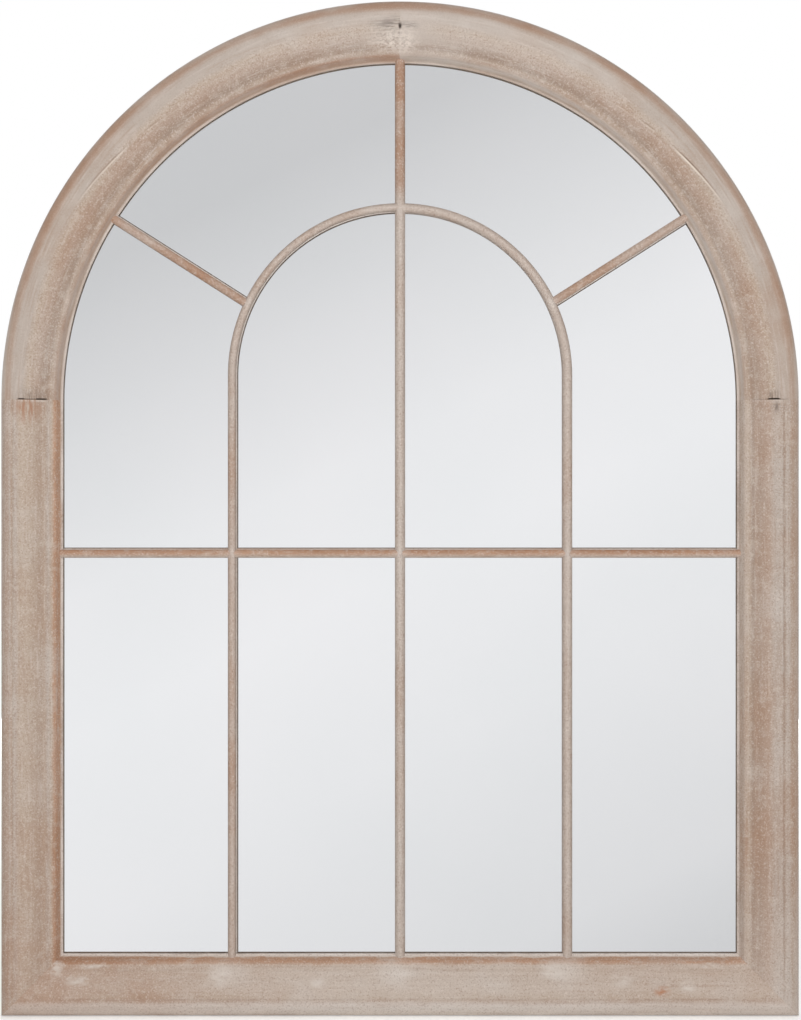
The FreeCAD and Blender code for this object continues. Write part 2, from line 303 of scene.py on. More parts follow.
for name, piece in pieces.items():
    x, y, z = vertices(piece).T
    if name.endswith("stile"):
        keep_run(piece, z - spring, half_width - abs(x), back - y)
    elif name.endswith("arch"):
        turn, reach = np.arctan2(z - spring, abs(x)), np.hypot(x, z - spring)
        keep_run(piece, turn * half_width, half_width - reach, back - y)
    else:
        keep_run(piece, x, z - bottom, back - y)
arch_length = half_width * math.pi / 2
print("arch runs", round(arch_length / MM, 1), "mm from spring line to crown")

# %% [markdown]
# ## Hand-finished unevenness
# Sanding and brushing leave the face slightly wavy, and the thick wash leaves a sandy skin. Bump in the
# material could fake it, but the mesh would stay flat. So three displacements of different size press the
# face in from the front and nowhere else, and the frame keeps its size, its flat back and its closed mitres.

# %% Unevenness
waves = {"wave": (45 * MM, 0.5 * MM), "ripple": (9 * MM, 0.22 * MM), "sand": (2.4 * MM, 0.12 * MM)}
face_starts, face_fade = 9 * MM, 4 * MM
textures = {}
for name, (size, depth) in waves.items():
    textures[name] = bpy.data.textures.new(name, "CLOUDS")
    textures[name].noise_scale = size


def uneven(piece, weights):
    """Presses the piece's face in by the waves, where weights say so."""
    group = piece.vertex_groups.new(name="face")
    for index, weight in enumerate(weights):
        group.add([index], float(weight), "REPLACE")
    bpy.context.view_layer.objects.active = piece
    for name, (size, depth) in waves.items():
        press = piece.modifiers.new(name, "DISPLACE")
        press.texture = textures[name]
        press.texture_coords = "LOCAL"
        press.vertex_group = "face"
        press.direction = "Y"
        press.mid_level = 1
        press.strength = -depth
        bpy.ops.object.modifier_apply(modifier=name)
    piece.vertex_groups.clear()


for piece in pieces.values():
    along, inset, height = run_of(piece)
    uneven(piece, np.clip((height - face_starts) / face_fade, 0, 1))
print("pressed in by at most", round(sum(depth for size, depth in waves.values()) / MM, 2), "mm")

# %% [markdown]
# ## Creases, open joints and lifted wash
# A fine groove runs along both stiles and the rail. The lengths are glued end to end, and the joints have
# opened: thin slits, painted black as shade, show over the spring lines, and the crown joint has a dent
# with a small hole, painted dark as shade.
# On both arches the wash has lifted in a thin ridge. Each could be cut with a boolean, but these are soft
# shapes, so points are pushed in or out as with a sculpting brush.

# %% Creases
creases = {"left_stile": 11 * MM, "right_stile": 14.8 * MM, "bottom_rail": 15.5 * MM}
crease_depth, crease_reach = 0.7 * MM, 1.3 * MM
crease_starts, crease_fade = 30 * MM, 40 * MM


def bump_at(value, middle, reach):
    """One at the middle, falling smoothly to nothing at reach."""
    share = np.clip(1 - abs(value - middle) / reach, 0, 1)
    return share * share * (3 - 2 * share)


def between(value, low, high, soft):
    """One between low and high, with soft ends."""
    return np.clip((value - low) / soft, 0, 1) * np.clip((high - value) / soft, 0, 1)


def to_corner(piece):
    """Distance of each point from the nearer lower corner of the frame."""
    x, y, z = vertices(piece).T
    return np.hypot(abs(x) - half_width, z - bottom)


def push(piece, inward, upward=0):
    """Moves each point of the piece in from the front, and up."""
    places = vertices(piece)
    places[:, 1] += inward
    places[:, 2] += upward
    piece.data.vertices.foreach_set("co", places.ravel())
    piece.data.update()


for name, place in creases.items():
    piece = pieces[name]
    along, inset, height = run_of(piece)
    clear = np.clip((to_corner(piece) - crease_starts) / crease_fade, 0, 1)
    push(piece, crease_depth * bump_at(inset, place, crease_reach) * clear)
print("creases on", *creases)

# %% Open joints and ridges
face_low = 13 * MM
# Each slit has the insets of its two ends in millimetres, and how far it is open.
slits = {
    "left": [(16, 22, 0.9), (20, 34, 0.3), (31.5, 41, 1.1)],
    "right": [(18, 29, 1.1), (10, 42, 0.12)],
}
# The last value sets how dark the open slits are painted: painted shade in the gaps.
slit_depth, slit_lift, slit_shade = 2.2 * MM, 0.6 * MM, 1.6
slit_reach, slit_fade = 1.6 * MM, 1.5 * MM
seam_depth, seam_reach, seam_fade = 0.35 * MM, 1.1 * MM, 3 * MM
hole_inset, hole_depth, hole_size = 23.4 * MM, 3 * MM, (1.9 * MM, 3.5 * MM)
dent_depth, dent_size = {"left": 1.0 * MM, "right": 0.5 * MM}, (30 * MM, 9 * MM)
# A ridge runs from an angle over the spring line and an inset to another angle and inset.
ridge_start, ridge_end, ridge_fade = (30, 20 * MM), (56, 32 * MM), 3
ridge_rise, ridge_reach = {"left": 0.22 * MM, "right": 0.35 * MM}, 1.5 * MM
ridge_slope = (ridge_end[1] - ridge_start[1]) / (ridge_end[0] - ridge_start[0])
joint_marks = {}
for side in SIDES:
    arch = pieces[f"{side}_arch"]
    along, inset, height = run_of(arch)
    on_face = height > face_low
    pressed, raised, dark = np.zeros((3, len(along)))
    for low, high, opened in slits[side]:
        slit = between(inset, low * MM, high * MM, slit_fade) * bump_at(along, 0, slit_reach) * on_face
        pressed += slit_depth * opened * slit
        raised += slit_lift * opened * slit
        # Open slits are painted dark as shade in the gap.
        dark += min(1, slit_shade * opened) * slit
    seam = bump_at(along, arch_length, seam_reach) * on_face
    pressed += seam_depth * seam * between(inset, 12 * MM, 27 * MM, seam_fade)
    pale = 0.8 * seam * between(inset, 25 * MM, 50 * MM, seam_fade)
    hole = bump_at(along, arch_length, hole_size[0]) * bump_at(inset, hole_inset, hole_size[1]) * on_face
    dent = bump_at(along, arch_length, dent_size[0]) * bump_at(inset, hole_inset, dent_size[1])
    pressed += hole_depth * hole + dent_depth[side] * dent
    # The hole is painted dark as shade.
    dark += hole
    degrees = np.degrees(along / half_width)
    line = ridge_start[1] + ridge_slope * (degrees - ridge_start[0])
    lifted = bump_at(inset, line, ridge_reach) * between(degrees, ridge_start[0], ridge_end[0], ridge_fade)
    push(arch, pressed - ridge_rise[side] * lifted, raised)
    joint_marks[side] = pale, dark
print("joints opened at both spring lines and at the crown")

# %% [markdown]
# ## Where the wash is thick, where it is worn, and where light is painted
# The painter left more wash on the crown of the arch, in the middle of the rail and round the feet of the
# bars. Hands and cloths have worn it down to brown wood along the outer edge of the arch, on the slope
# beside the lip and towards the lower corners. The pale crown and rail middle and the darker lower corners
# are also a painted pool of light, brightest at the crown and the middle of the rail and falling off towards
# the lower corners. Pale lips and outer edges are partly painted highlights, and open joints are painted
# dark as shade. That could be painted by hand as vertex colours. Here each point works out from its run how
# worn, pale, dark and sandy it is, so the wear follows the moulding.

# %% Wear on the arches
lip_wash_and_highlight = {"bottom_rail": 0.9, "left_stile": 0.8, "right_stile": 0.6, "left_arch": 0.7, "right_arch": 0.6}
crown_chalk_and_light = {"left": 0.27, "right": 0.45}


def keep_touch(piece, wear, pale, dark, sand):
    """Stores on the mesh, from 0 to 1, how worn, pale, dark and sandy each point is. Worn and pale also carry
    painted light, and dark is painted shade.
    """
    touch = piece.data.attributes.new("touch", "FLOAT_COLOR", "POINT")
    rows = np.clip(np.stack([wear, pale, dark, sand], 1), 0, 1)
    touch.data.foreach_set("color", rows.astype(np.float32).ravel())


def lit_washed_lip(name, inset, height):
    """How pale the lip of a length is: thick wash, and a painted highlight."""
    return lip_wash_and_highlight[name] * (inset > bead_foot + lip - 0.1 * MM) * (height > sight_top - 0.5 * MM)


for side in SIDES:
    arch = pieces[f"{side}_arch"]
    along, inset, height = run_of(arch)
    rise = np.sin(np.clip(along / half_width, 0, None))
    # The outer edge is rubbed brown, least near the spring line, and brown shows in the hollow.
    rubbed = 0.6 * np.clip(along / (110 * MM), 0.25, 1)
    outer = between(inset, 1 * MM, 40 * MM, 1.5 * MM) * np.clip((12.5 * MM - inset) / (6.5 * MM), 0, 1)
    hollow = between(inset, 24 * MM, 41 * MM, 5 * MM) * between(rise, 0.1, 0.98, 0.2)
    wear = rubbed * outer + 0.22 * hollow
    # The left arch is also worn beside the lip, most towards the crown.
    if side == "left":
        wear += 0.4 * between(inset, 47 * MM, 54 * MM, 1 * MM)
        wear += 0.35 * between(inset, 47 * MM, 53 * MM, 1 * MM) * rise ** 4
    # Pale lies on the lip and on the outermost edge, as thick wash and a painted highlight, and on the crown
    # as chalky wash and a painted pool of light.
    pale, dark = joint_marks[side]
    pale += lit_washed_lip(f"{side}_arch", inset, height) * (1 - 0.8 * rise ** 6)
    pale += 0.9 * (inset < 1 * MM)
    pale += crown_chalk_and_light[side] * between(inset, 9 * MM, 40 * MM, 6 * MM) * rise ** 8
    sand = 0.3 + 0.7 * between(inset, 19 * MM, 50 * MM, 5 * MM)
    keep_touch(arch, wear, pale, dark, sand)
    print(side, "arch is worn by", round(float(wear.max()), 2), "at most")

# %% Wear on the stiles and the rail
seam_wash = {"left": 1.0, "right": 0.25}
flank_wear = {"left": 1.0, "right": 0.6}
straight_sand = 0.9
# Reach of the darkening towards a lower corner, worn wood and painted falloff of light, and of the pale
# corner wash.
corner_wear_and_falloff, pale_corner = 300 * MM, 130 * MM
bar_spacing = (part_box("right_side_bar")[0].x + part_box("right_side_bar")[1].x) / 2


def beside_lip(inset):
    """One on the slope between bead and lip."""
    return between(inset, 45.5 * MM, 52.5 * MM, 1 * MM)


for side in SIDES:
    stile = pieces[f"{side}_stile"]
    along, inset, height = run_of(stile)
    from_corner = to_corner(stile)
    low_down = np.clip(-along / (spring - bottom), 0, 1)
    # Wear grows towards the corner and, beside the lip, down the stile: worn wood, and also a painted
    # falloff of light that darkens the stile towards the bottom.
    wear = 0.4 * np.clip(1 - from_corner / corner_wear_and_falloff, 0, 1)
    wear += flank_wear[side] * beside_lip(inset) * (0.1 + 0.35 * low_down)
    # Wash has been pressed out along the joint with the arch.
    seam = between(inset, 14 * MM, 41 * MM, 3 * MM) * bump_at(along, -1 * MM, 1 * MM) * (height > face_low)
    # The pale lip is thick wash and a painted highlight.
    pale = seam_wash[side] * seam + lit_washed_lip(f"{side}_stile", inset, height)
    # The right stile is worn in the valley and on its outer edge, but its corner is washed thickly.
    if side == "right":
        wear += 0.2 * between(inset, 25 * MM, 42 * MM, 4 * MM)
        wear += 0.3 * between(inset, 1 * MM, 10 * MM, 1.5 * MM)
        wear *= np.clip(from_corner / (150 * MM), 0.2, 1)
        pale += 0.4 * np.clip(1 - from_corner / pale_corner, 0, 1)
    keep_touch(stile, wear, pale, 0 * pale, 0 * pale + straight_sand)
    print(side, "stile is worn by", round(float(wear.max()), 2), "at most")

x, inset, height = run_of(rail)
from_corner = to_corner(rail)
right_half = x > 0
# Wear grows towards both ends, mostly the left one: worn wood, and also a painted falloff of light
# towards the corners.
wear = np.where(right_half, 0.12, 0.4) * np.clip(1 - from_corner / corner_wear_and_falloff, 0, 1)
wear += beside_lip(inset) * (0.15 + 0.45 * np.clip(-x / half_width, 0, 1))
wear += np.where(right_half, 0.15, 0.8) * np.clip(abs(x + 30 * MM) / half_width - 0.4, 0, 1)
# Wash lies thick on the lip, in the right corner, in the middle, on the lower edge and at the bars' feet.
# The pale lip is also a painted highlight, and the pale middle also a painted pool of light.
pale = lit_washed_lip("bottom_rail", inset, height)
pale += 0.15 * right_half * np.clip(1 - from_corner / pale_corner, 0, 1)
pale += 0.3 * bump_at(x, 20 * MM, 260 * MM) * between(inset, 3 * MM, 45 * MM, 5 * MM)
pale += 0.35 * between(inset, 2 * MM, 14 * MM, 2 * MM)
for foot in (-bar_spacing, 0, bar_spacing):
    pale += 0.9 * bump_at(x, foot - 4 * MM, 26 * MM) * between(inset, 24 * MM, 54 * MM, 14 * MM)
keep_touch(rail, wear, pale, 0 * pale, 0 * pale + straight_sand)
print("rail is worn by", round(float(wear.max()), 2), "at most")

# %% [markdown]
# ## Glazing bars
# Each bar is a thin stick with a rounded face. On some bars a narrow pale ledge runs along one foot: wash
# has gathered there, and its paleness is also a painted highlight on that side. Its outer edge, against the
# glass, is painted dark as shade. The uprights and the cross bar are extruded, the inner arch is spun and
# the rays are extruded along a radius of the arch. The ledge is part of the outline, so it follows the bar
# all along.

# %% Straight bars
bar_low, bar_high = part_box("centre_bar")
bar_half = bar_high.x
bar_shoulder, bar_depth, coping_step = 4.0 * MM, 6.5 * MM, 0.4 * MM
foot_height, thin_foot, wide_foot = 1.3 * MM, 0.4 * MM, 1.7 * MM
# Shares of a foot's height at its edge and on its slope, and of its width where painted shade meets the pale
# ledge.
foot_edge, foot_slope, foot_breaks = 0.6, 0.9, (0.4, 0.5)
bar_step = 2.5 * MM
inner_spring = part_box("left_side_bar")[1].z
cross_low, cross_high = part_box("cross_bar")
cross_z = (cross_low.z + cross_high.z) / 2
# The side of a bar with the pale ledge of wash and painted highlight, 1 or -1 across its run.
pale_foot = {
    "left_side_bar": -1, "cross_bar": 1, "left_inner_arch_bar": -1,
    "left_ray_bar": -1, "right_ray_bar": -1,
}
bars = {}


def bar_section(copes, wide_side):
    """Across and height over the glass of the points of a bar, with its wide foot on one side or on none."""
    left, right = [], []
    for side, points in ((-1, left), (1, right)):
        foot = wide_foot if side == wide_side else thin_foot
        points += [(side * bar_half, 0), (side * bar_half, foot_height * foot_edge)]
        points += [(side * (bar_half - foot * share), foot_height * foot_slope) for share in foot_breaks]
        points += [(side * (bar_half - foot), foot_height), (side * (bar_half - foot), bar_shoulder)]
    crest = bar_depth - copes * coping_step
    return [*left, *bow(left[-1], right[-1], crest - bar_shoulder), *reversed(right[:-1])]


def straight_bar(name, start, end, copes):
    """Bar between two points of the glass, each an x and a z."""
    run = Vector((end[0] - start[0], 0, end[1] - start[1]))
    way = run.normalized()
    points = [
        (start[0] - way.z * across, glass_front - height, start[1] + way.x * across)
        for across, height in bar_section(copes, pale_foot.get(name))
    ]
    bar = outline(f"limed_{name}", points)
    extrude(bar, run, round(run.length / bar_step))
    close(bar)
    x, y, z = vertices(bar).T
    across = (z - start[1]) * way.x - (x - start[0]) * way.z
    keep_run(bar, (x - start[0]) * way.x + (z - start[1]) * way.z, across, glass_front - y)
    bars[name] = bar


straight_bar("centre_bar", (0, bar_low.z), (0, bar_high.z), 0)
for name, side in SIDES.items():
    straight_bar(f"{name}_side_bar", (side * bar_spacing, bar_low.z), (side * bar_spacing, inner_spring), 0)
straight_bar("cross_bar", (cross_low.x, cross_z), (cross_high.x, cross_z), 1)
print(len(bars), "straight bars,", round(2 * bar_half / MM, 1), "mm wide")

# %% Rays and inner arch
ray_turn = math.radians(32.5)
inner_arch_steps = 96
inner_rise = inner_spring - spring
lift = inner_rise * math.sin(ray_turn)
ray_start = lift + math.sqrt(lift ** 2 + bar_spacing ** 2 - inner_rise ** 2)
ray_end = half_width - bead_foot
inner_top = inner_spring + bar_spacing
crossings = [(0, cross_z), (-bar_spacing, cross_z), (bar_spacing, cross_z), (0, inner_top)]
for name, side in SIDES.items():
    way = (side * math.cos(ray_turn), math.sin(ray_turn))
    ends = [(way[0] * reach, spring + way[1] * reach) for reach in (ray_start, ray_end)]
    straight_bar(f"{name}_ray_bar", *ends, 2)
    crossings.append(ends[0])
    shape = bar_section(0, pale_foot.get(f"{name}_inner_arch_bar"))
    points = [(side * (bar_spacing + across), glass_front - height, inner_spring) for across, height in shape]
    bar = outline(f"limed_{name}_inner_arch_bar", points)
    spin(bar, (0, 0, inner_spring), -side * math.pi / 2, inner_arch_steps)
    close(bar)
    x, y, z = vertices(bar).T
    turn, reach = np.arctan2(z - inner_spring, abs(x)), np.hypot(x, z - inner_spring)
    keep_run(bar, turn * bar_spacing, reach - bar_spacing, glass_front - y)
    bars[f"{name}_inner_arch_bar"] = bar
print(len(bars), "bars with rays and inner arch")

# %% [markdown]
# ## Filler and wear on the bars
# Where bars cross, filler and wash hide the joint, so the crossings stand a little proud and pale. The
# cross bar and the rays are worn most, down to orange wood. Like the frame, each point of a bar works out
# its own wear, so all bars but the cross bar can share one finish.

# %% Wear on the bars
filler_reach, filler_rise = 11 * MM, 0.5 * MM
shade_share = sum(foot_breaks) / 2
usual_wear = 0.15
worn_bars = {
    "centre_bar": 0.05, "left_side_bar": 0.45, "cross_bar": 0.95,
    "left_ray_bar": 0.9, "right_ray_bar": 0.6,
}
for name, bar in bars.items():
    along, across, height = run_of(bar)
    uneven(bar, np.clip((height - 1 * MM) / (3 * MM), 0, 1))
    x, y, z = vertices(bar).T
    near = np.min([np.hypot(x - cross_x, z - at_z) for cross_x, at_z in crossings], axis=0)
    filler = np.clip(1 - near / filler_reach, 0, 1) ** 2
    push(bar, -filler_rise * filler * (height > 3 * MM))
    wear, pale = np.full(len(x), worn_bars.get(name, usual_wear)), 0.5 * filler
    # Over the inner arch the centre bar is worn to the wood, and below it the side bars fade to the usual.
    if name == "centre_bar":
        wear += 0.8 * np.clip((z - inner_top) / (20 * MM), 0, 1)
    if name.endswith("side_bar"):
        wear = usual_wear + (wear - usual_wear) * np.clip((inner_spring - z) / (90 * MM), 0, 1)
    # The cross bar is worn on its upper half and keeps wash on its lower half.
    if name == "cross_bar":
        wear += 0.4 * np.clip(across / (3 * MM), -1, 1)
        pale += 0.5 * np.clip(-across / (4 * MM), 0, 1)
    # The outer part of the wide foot is painted dark as shade; the rest of the foot is pale wash and a
    # painted highlight.
    outward = across * pale_foot.get(name, 0)
    on_foot = (outward > bar_half - wide_foot - 0.1 * MM) * (height < 2 * MM)
    foot_shade = on_foot * (outward > bar_half - wide_foot * shade_share)
    lit_ledge = on_foot * (1 - foot_shade)
    keep_touch(bar, wear * (1 - lit_ledge), pale * (1 - on_foot) + lit_ledge, 0.8 * foot_shade, x * 0 + 1)
print("wear kept on", len(bars), "bars")

# %% Tie frame and bars to the part
smooth_turn = math.radians(40)
for name, piece in {**pieces, **bars}.items():
    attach(piece, "mirror")
    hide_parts(name)
    bpy.ops.object.select_all(action="DESELECT")
    piece.select_set(True)
    bpy.context.view_layer.objects.active = piece
    bpy.ops.object.shade_smooth_by_angle(angle=smooth_turn)
print(len(pieces) + len(bars), "pieces ride on the mirror")

# %% [markdown]
# ## The silvered glass
# A mirror is a clear sheet of float glass with a film of silver on its back. The eye meets the silver
# through the glass, so the bars stand a little off their own reflections and show them as thin lines. At
# the full depth of the glass these lines come out too broad and dark, so the film is drawn nearer to the
# front, as deep as the thin lines ask for. Both sheets are one outline, filled and extruded.

# %% Glass and silver
glass_low, glass_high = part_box("mirror_glass")
film, seen_depth, sheet_gap = 0.12 * MM, 1.0 * MM, 0.05 * MM
rim_steps = 128


def arched_sheet(name, front, thickness):
    """Flat sheet with the outline of the glass: its edges are filled and the face is extruded back."""
    radius = glass_high.x
    turns = [math.pi * step / rim_steps for step in range(rim_steps + 1)]
    rim = [(radius * math.cos(turn), front, spring + radius * math.sin(turn)) for turn in turns]
    made = outline(name, rim + [(glass_low.x, front, glass_low.z), (glass_high.x, front, glass_low.z)])
    bpy.ops.mesh.edge_face_add()
    bpy.ops.mesh.extrude_region_move(TRANSFORM_OT_translate={"value": (0, thickness, 0)})
    bpy.ops.mesh.select_all(action="SELECT")
    bpy.ops.mesh.normals_make_consistent(inside=False)
    bpy.ops.object.mode_set(mode="OBJECT")
    return made


sheet = arched_sheet("clear_glass", glass_low.y + sheet_gap, glass_high.y - glass_low.y - film)
silver = arched_sheet("silver_film", glass_low.y + seen_depth, film / 2)
for piece in (sheet, silver):
    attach(piece, "mirror")
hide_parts("mirror_glass")
print("glass", round((glass_high.y - glass_low.y) / MM, 2), "mm with a film of", round(film / MM, 2))

# %% [markdown]
# ## Screws
# A round-headed screw is pressed from wire. A cylinder gets a rounded top, a shank drawn out of its
# underside and a point, and a plus-shaped punch cuts the recess for the driver. One screw of each size is
# modelled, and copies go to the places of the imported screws, each turned a little further.

# %% One screw
head_sides, rounded_share, rounded_steps = 32, 0.75, 5
slot_share, arm_share, tip_share = 0.14, 0.2, 0.1
recess_depth = 0.9 * MM
facing = 0.9


def pick(piece, test):
    """Selects the faces whose normal passes a test, and stays in edit mode."""
    bpy.ops.object.mode_set(mode="EDIT")
    bpy.ops.mesh.select_mode(type="FACE")
    bpy.ops.mesh.select_all(action="DESELECT")
    bpy.ops.object.mode_set(mode="OBJECT")
    for polygon in piece.data.polygons:
        polygon.select = test(polygon.normal)
    bpy.ops.object.mode_set(mode="EDIT")


def one_screw(head, dome, shank, length):
    """Screw that stands on the origin with its head up."""
    bpy.ops.object.select_all(action="DESELECT")
    size = {"radius": head / 2, "depth": dome}
    bpy.ops.mesh.primitive_cylinder_add(vertices=head_sides, location=(0, 0, dome / 2), **size)
    made = bpy.context.object
    bpy.ops.object.transform_apply()
    pick(made, lambda normal: normal.z > facing)
    bpy.ops.mesh.bevel(offset=dome * rounded_share, segments=rounded_steps, affect="EDGES")
    pick(made, lambda normal: normal.z < -facing)
    bpy.ops.mesh.inset(thickness=(head - shank) / 2)
    bpy.ops.mesh.extrude_region_move(TRANSFORM_OT_translate={"value": (0, 0, 2 * shank - length)})
    bpy.ops.mesh.extrude_region_move(TRANSFORM_OT_translate={"value": (0, 0, -2 * shank)})
    bpy.ops.transform.resize(value=(tip_share, tip_share, 1))
    bpy.ops.object.mode_set(mode="OBJECT")
    slot_width = head * slot_share
    bpy.ops.mesh.primitive_cube_add(size=slot_width, location=(0, 0, dome))
    punch = bpy.context.object
    bpy.ops.object.mode_set(mode="EDIT")
    bpy.ops.mesh.select_all(action="SELECT")
    bpy.ops.transform.resize(value=(1, 1, 2 * recess_depth / slot_width))
    pick(punch, lambda normal: abs(normal.z) < facing)
    bpy.ops.mesh.extrude_faces_move(TRANSFORM_OT_shrink_fatten={"value": head * arm_share})
    bpy.ops.object.mode_set(mode="OBJECT")
    cut = made.modifiers.new("recess", "BOOLEAN")
    cut.object = punch
    bpy.context.view_layer.objects.active = made
    bpy.ops.object.modifier_apply(modifier="recess")
    bpy.data.objects.remove(punch)
    return made


# %% Screws in their places
# Head, dome, shank and length of each kind of screw, in millimetres.
screw_sizes = {"panel_screws": (6, 1.8, 3, 12), "hanger_screws": (7, 2, 3.5, 15)}
screw_gap = 10 * MM
turn_step, head_turn = math.radians(37), math.radians(35)
screw_sets = []


def screw_places(name):
    """Place of each screw of a packed set: the middle of its head's top."""
    co = vertices(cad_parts[name])
    places = []
    for x, y, z in co[np.argsort(-co[:, 1])]:
        if all(math.hypot(x - px, z - pz) > screw_gap for px, py, pz in places):
            places.append((x, y, z))
    return places


for name, sizes in screw_sizes.items():
    head, dome, shank, length = [size * MM for size in sizes]
    first = one_screw(head, dome, shank, length)
    bpy.ops.object.select_all(action="DESELECT")
    for index, place in enumerate(screw_places(name)):
        copy = bpy.data.objects.new(f"{name}_{index}", first.data.copy())
        bpy.context.scene.collection.objects.link(copy)
        copy.rotation_euler = (-math.pi / 2, turn_step * index, 0)
        copy.location = Vector(place) - Vector((0, dome, 0))
        copy.select_set(True)
        bpy.context.view_layer.objects.active = copy
    bpy.data.objects.remove(first)
    bpy.ops.object.join()
    screws = bpy.context.object
    screws.name = f"driven_{name}"
    bpy.ops.object.transform_apply()
    bpy.ops.object.shade_smooth_by_angle(angle=head_turn)
    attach(screws, "mirror")
    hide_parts(name)
    screw_sets.append(screws)
    print(name, len(screws.data.polygons), "faces")

# %% [markdown]
# ## Colours and nodes
# A material is a tree of nodes. It could be wired by hand, but in code a node is made, set and linked in one
# call, so a material reads from top to bottom. Colours are written as on a paint card, in sRGB hex, and
# one function turns them into what a shader wants.


# %% Colours and nodes
def linear(code):
    """Colour written as sRGB hex, for a shader."""
    parts = [int(code[i:i + 2], 16) / 255 for i in (1, 3, 5)]
    return [c / 12.92 if c <= 0.04045 else ((c + 0.055) / 1.055) ** 2.4 for c in parts] + [1]


def node(tree, kind, inputs=None, stops=None, **settings):
    """Adds a node, with its settings, its values or links, and the stops of a ramp."""
    made = tree.nodes.new("ShaderNode" + kind)
    for name, value in settings.items():
        setattr(made, name, value)
    for socket, value in (inputs or {}).items():
        if isinstance(value, bpy.types.NodeSocket):
            tree.links.new(value, made.inputs[socket])
        else:
            made.inputs[socket].default_value = value
    for index, (position, code) in enumerate(stops or []):
        elements = made.color_ramp.elements
        element = elements[index] if index < 2 else elements.new(position)
        element.position = position
        element.color = linear(code)
    return made


def new_material(name):
    """Material with its node tree and its Principled shader."""
    material = bpy.data.materials.new(name)
    material.use_nodes = True
    return material, material.node_tree, material.node_tree.nodes["Principled BSDF"]


# %% [markdown]
# ## Lime wash on wood
# The wood is stained brown, and a pale wash is brushed over it and wiped back. The wash stays on the
# crown and in the grain, and wears thin on edges and beside the bead, where brown and orange wood shows.
# A painted texture could show that, but it would blur close up. Here a ramp across the section gives the
# bands, and layers of noise give blotches, streaks and sand.

# %% Lime wash
# A layer is laid by place or along the run. It has the length and width of its blotches in millimetres,
# their detail, the noise values where it starts and is full, its colour, and how much it covers.
clouds = [
    ("place", (52, 52), 3, 0.48, 0.74, "#A5866F", 0.40),
    ("place", (34, 34), 3, 0.50, 0.72, "#CAC2BB", 0.35),
    ("run", (55, 3.0), 3, 0.52, 0.75, "#9F8370", 0.38),
    ("run", (30, 2.2), 2, 0.54, 0.75, "#D2C8C0", 0.35),
]
# Real grains of wash are well under half a millimetre. The last two are drawn coarser, so that they show.
grains = [
    ("place", (7, 7), 5, 0.54, 0.66, "#CDC1B7", 0.28),
    ("place", (1.5, 1.5), 2, 0.52, 0.72, "#D9CDC3", 0.50),
    ("place", (1.4, 1.4), 2, 0.52, 0.72, "#8C6F5E", 0.50),
]
# Worn wood and thick wash, and a near black that is painted shade in open joints, in the crown hole and at
# the bars' feet. Worn wood also darkens the lower corners and thick wash lightens lips and edges, partly as
# painted light.
WORN, THICK, PAINTED_SHADE = "#A47C62", "#D6CEC7", "#3E352F"
wander_size, wander_reach = 16, 3.2 * MM


